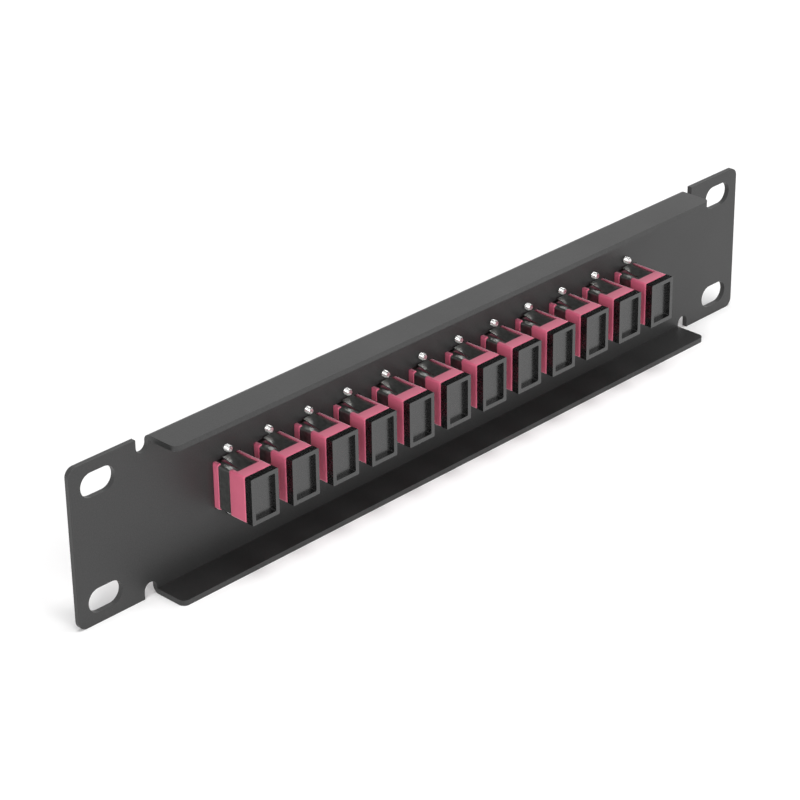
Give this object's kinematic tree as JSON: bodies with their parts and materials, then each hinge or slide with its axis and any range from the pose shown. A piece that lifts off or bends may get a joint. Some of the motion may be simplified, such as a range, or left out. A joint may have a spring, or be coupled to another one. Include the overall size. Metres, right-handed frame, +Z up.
{
  "type": "fibre patch panel",
  "caption": "Folded sheet rack panel with rear flanges, carrying a row of upright push-pull fibre adapters with spring clips, screws and dust caps on both sides.",
  "frame": {"origin": "middle of the four rack slots, on the rear face of the ears", "axes": "+X along the panel, to the right as seen from the front; +Y out of the rear face, into the rack; +Z up"},
  "size_m": [0.254, 0.0318, 0.0444],
  "materials": {
    "powder_coat": "fine textured matt black powder coat",
    "housing_plastic": "satin moulded plastic",
    "cap_plastic": "soft matt moulded plastic",
    "clip_steel": "bright spring steel",
    "screw_steel": "bright plated",
    "holder_plastic": "natural moulded plastic",
    "sleeve_ceramic": "polished ceramic"
  },
  "bodies": {
    "panel": {"rack_panel": "powder_coat", "rear_housing_01": "housing_plastic", "rear_housing_02": "housing_plastic", "rear_housing_03": "housing_plastic", "rear_housing_04": "housing_plastic", "rear_housing_05": "housing_plastic", "rear_housing_06": "housing_plastic", "rear_housing_07": "housing_plastic", "rear_housing_08": "housing_plastic", "rear_housing_09": "housing_plastic", "rear_housing_10": "housing_plastic", "rear_housing_11": "housing_plastic", "rear_housing_12": "housing_plastic", "front_housing_01": "housing_plastic", "front_housing_02": "housing_plastic", "front_housing_03": "housing_plastic", "front_housing_04": "housing_plastic", "front_housing_05": "housing_plastic", "front_housing_06": "housing_plastic", "front_housing_07": "housing_plastic", "front_housing_08": "housing_plastic", "front_housing_09": "housing_plastic", "front_housing_10": "housing_plastic", "front_housing_11": "housing_plastic", "front_housing_12": "housing_plastic", "spring_clips": "clip_steel", "rear_latch_holders": "holder_plastic", "front_latch_holders": "holder_plastic", "alignment_sleeves": "sleeve_ceramic", "mounting_screws": "screw_steel"},
    "rear_dust_cap_01": {"rear_dust_cap_01": "cap_plastic"},
    "rear_dust_cap_02": {"rear_dust_cap_02": "cap_plastic"},
    "rear_dust_cap_03": {"rear_dust_cap_03": "cap_plastic"},
    "rear_dust_cap_04": {"rear_dust_cap_04": "cap_plastic"},
    "rear_dust_cap_05": {"rear_dust_cap_05": "cap_plastic"},
    "rear_dust_cap_06": {"rear_dust_cap_06": "cap_plastic"},
    "rear_dust_cap_07": {"rear_dust_cap_07": "cap_plastic"},
    "rear_dust_cap_08": {"rear_dust_cap_08": "cap_plastic"},
    "rear_dust_cap_09": {"rear_dust_cap_09": "cap_plastic"},
    "rear_dust_cap_10": {"rear_dust_cap_10": "cap_plastic"},
    "rear_dust_cap_11": {"rear_dust_cap_11": "cap_plastic"},
    "rear_dust_cap_12": {"rear_dust_cap_12": "cap_plastic"},
    "front_dust_cap_01": {"front_dust_cap_01": "cap_plastic"},
    "front_dust_cap_02": {"front_dust_cap_02": "cap_plastic"},
    "front_dust_cap_03": {"front_dust_cap_03": "cap_plastic"},
    "front_dust_cap_04": {"front_dust_cap_04": "cap_plastic"},
    "front_dust_cap_05": {"front_dust_cap_05": "cap_plastic"},
    "front_dust_cap_06": {"front_dust_cap_06": "cap_plastic"},
    "front_dust_cap_07": {"front_dust_cap_07": "cap_plastic"},
    "front_dust_cap_08": {"front_dust_cap_08": "cap_plastic"},
    "front_dust_cap_09": {"front_dust_cap_09": "cap_plastic"},
    "front_dust_cap_10": {"front_dust_cap_10": "cap_plastic"},
    "front_dust_cap_11": {"front_dust_cap_11": "cap_plastic"},
    "front_dust_cap_12": {"front_dust_cap_12": "cap_plastic"}
  },
  "joints": [
    {"name": "rear_dust_cap_01_pull", "type": "slide", "parent": "panel", "child": "rear_dust_cap_01", "axis": [0, 1, 0], "range_m": [0, 0.01]},
    {"name": "rear_dust_cap_02_pull", "type": "slide", "parent": "panel", "child": "rear_dust_cap_02", "axis": [0, 1, 0], "range_m": [0, 0.01]},
    {"name": "rear_dust_cap_03_pull", "type": "slide", "parent": "panel", "child": "rear_dust_cap_03", "axis": [0, 1, 0], "range_m": [0, 0.01]},
    {"name": "rear_dust_cap_04_pull", "type": "slide", "parent": "panel", "child": "rear_dust_cap_04", "axis": [0, 1, 0], "range_m": [0, 0.01]},
    {"name": "rear_dust_cap_05_pull", "type": "slide", "parent": "panel", "child": "rear_dust_cap_05", "axis": [0, 1, 0], "range_m": [0, 0.01]},
    {"name": "rear_dust_cap_06_pull", "type": "slide", "parent": "panel", "child": "rear_dust_cap_06", "axis": [0, 1, 0], "range_m": [0, 0.01]},
    {"name": "rear_dust_cap_07_pull", "type": "slide", "parent": "panel", "child": "rear_dust_cap_07", "axis": [0, 1, 0], "range_m": [0, 0.01]},
    {"name": "rear_dust_cap_08_pull", "type": "slide", "parent": "panel", "child": "rear_dust_cap_08", "axis": [0, 1, 0], "range_m": [0, 0.01]},
    {"name": "rear_dust_cap_09_pull", "type": "slide", "parent": "panel", "child": "rear_dust_cap_09", "axis": [0, 1, 0], "range_m": [0, 0.01]},
    {"name": "rear_dust_cap_10_pull", "type": "slide", "parent": "panel", "child": "rear_dust_cap_10", "axis": [0, 1, 0], "range_m": [0, 0.01]},
    {"name": "rear_dust_cap_11_pull", "type": "slide", "parent": "panel", "child": "rear_dust_cap_11", "axis": [0, 1, 0], "range_m": [0, 0.01]},
    {"name": "rear_dust_cap_12_pull", "type": "slide", "parent": "panel", "child": "rear_dust_cap_12", "axis": [0, 1, 0], "range_m": [0, 0.01]},
    {"name": "front_dust_cap_01_pull", "type": "slide", "parent": "panel", "child": "front_dust_cap_01", "axis": [0, -1, 0], "range_m": [0, 0.01]},
    {"name": "front_dust_cap_02_pull", "type": "slide", "parent": "panel", "child": "front_dust_cap_02", "axis": [0, -1, 0], "range_m": [0, 0.01]},
    {"name": "front_dust_cap_03_pull", "type": "slide", "parent": "panel", "child": "front_dust_cap_03", "axis": [0, -1, 0], "range_m": [0, 0.01]},
    {"name": "front_dust_cap_04_pull", "type": "slide", "parent": "panel", "child": "front_dust_cap_04", "axis": [0, -1, 0], "range_m": [0, 0.01]},
    {"name": "front_dust_cap_05_pull", "type": "slide", "parent": "panel", "child": "front_dust_cap_05", "axis": [0, -1, 0], "range_m": [0, 0.01]},
    {"name": "front_dust_cap_06_pull", "type": "slide", "parent": "panel", "child": "front_dust_cap_06", "axis": [0, -1, 0], "range_m": [0, 0.01]},
    {"name": "front_dust_cap_07_pull", "type": "slide", "parent": "panel", "child": "front_dust_cap_07", "axis": [0, -1, 0], "range_m": [0, 0.01]},
    {"name": "front_dust_cap_08_pull", "type": "slide", "parent": "panel", "child": "front_dust_cap_08", "axis": [0, -1, 0], "range_m": [0, 0.01]},
    {"name": "front_dust_cap_09_pull", "type": "slide", "parent": "panel", "child": "front_dust_cap_09", "axis": [0, -1, 0], "range_m": [0, 0.01]},
    {"name": "front_dust_cap_10_pull", "type": "slide", "parent": "panel", "child": "front_dust_cap_10", "axis": [0, -1, 0], "range_m": [0, 0.01]},
    {"name": "front_dust_cap_11_pull", "type": "slide", "parent": "panel", "child": "front_dust_cap_11", "axis": [0, -1, 0], "range_m": [0, 0.01]},
    {"name": "front_dust_cap_12_pull", "type": "slide", "parent": "panel", "child": "front_dust_cap_12", "axis": [0, -1, 0], "range_m": [0, 0.01]}
  ]
}
